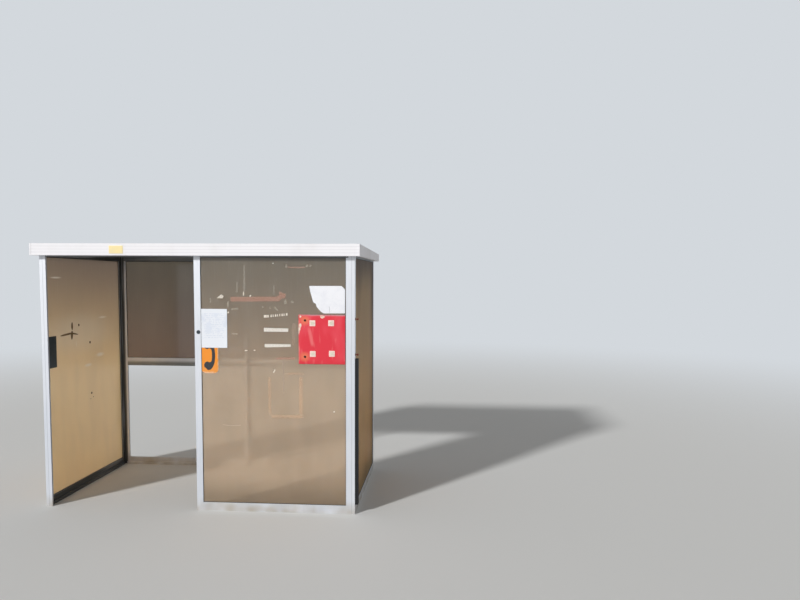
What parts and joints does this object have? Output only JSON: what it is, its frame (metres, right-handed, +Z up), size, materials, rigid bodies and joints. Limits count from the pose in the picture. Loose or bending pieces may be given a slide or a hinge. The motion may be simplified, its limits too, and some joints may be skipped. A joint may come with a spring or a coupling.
{
  "type": "bus shelter",
  "caption": "bus shelter of hollow aluminium posts and rails with clear plastic panels in gaskets, an open entrance bay, and a shallow roof behind a grooved fascia",
  "frame": {"origin": "on the ground, at the middle of the roof's plan", "axes": "+X to the right along the front, +Y to the back, +Z up"},
  "size_m": [2.722, 1.46, 2.211],
  "materials": {
    "frame_aluminium": "satin",
    "fascia_white": "satin",
    "roof_white": "matte",
    "clear_panel": "hazy",
    "seal_rubber": "matte",
    "dark_plate": "satin",
    "black_plastic": "matte"
  },
  "bodies": {
    "root": {"bead_back_left": "frame_aluminium", "bead_back_right": "frame_aluminium", "bead_front_right": "frame_aluminium", "bottom_rail_back_left": "frame_aluminium", "bottom_rail_back_right": "frame_aluminium", "bottom_rail_front_right": "frame_aluminium", "bottom_rail_left": "frame_aluminium", "bottom_rail_right": "frame_aluminium", "corner_cover_strip": "black_plastic", "fascia_back": "fascia_white", "fascia_corner_trims": "fascia_white", "fascia_front": "fascia_white", "fascia_left": "fascia_white", "fascia_right": "fascia_white", "gasket_back_left": "seal_rubber", "gasket_back_right": "seal_rubber", "gasket_front": "seal_rubber", "gasket_left": "seal_rubber", "gasket_right": "seal_rubber", "mid_rail_back_left": "frame_aluminium", "mid_rail_back_right": "frame_aluminium", "panel_back_left": "clear_panel", "panel_back_right": "clear_panel", "panel_front": "clear_panel", "panel_left": "clear_panel", "panel_right": "clear_panel", "post_back_left": "frame_aluminium", "post_back_middle": "frame_aluminium", "post_back_right": "frame_aluminium", "post_front_left": "frame_aluminium", "post_front_middle": "frame_aluminium", "post_front_right": "frame_aluminium", "roof_bearer_left": "frame_aluminium", "roof_bearer_middle": "frame_aluminium", "roof_bearer_right": "frame_aluminium", "roof_sheet": "roof_white", "side_plate": "dark_plate", "top_rail_back_left": "frame_aluminium", "top_rail_back_right": "frame_aluminium", "top_rail_front_left": "frame_aluminium", "top_rail_front_right": "frame_aluminium", "top_rail_left": "frame_aluminium", "top_rail_right": "frame_aluminium"}
  },
  "joints": []
}
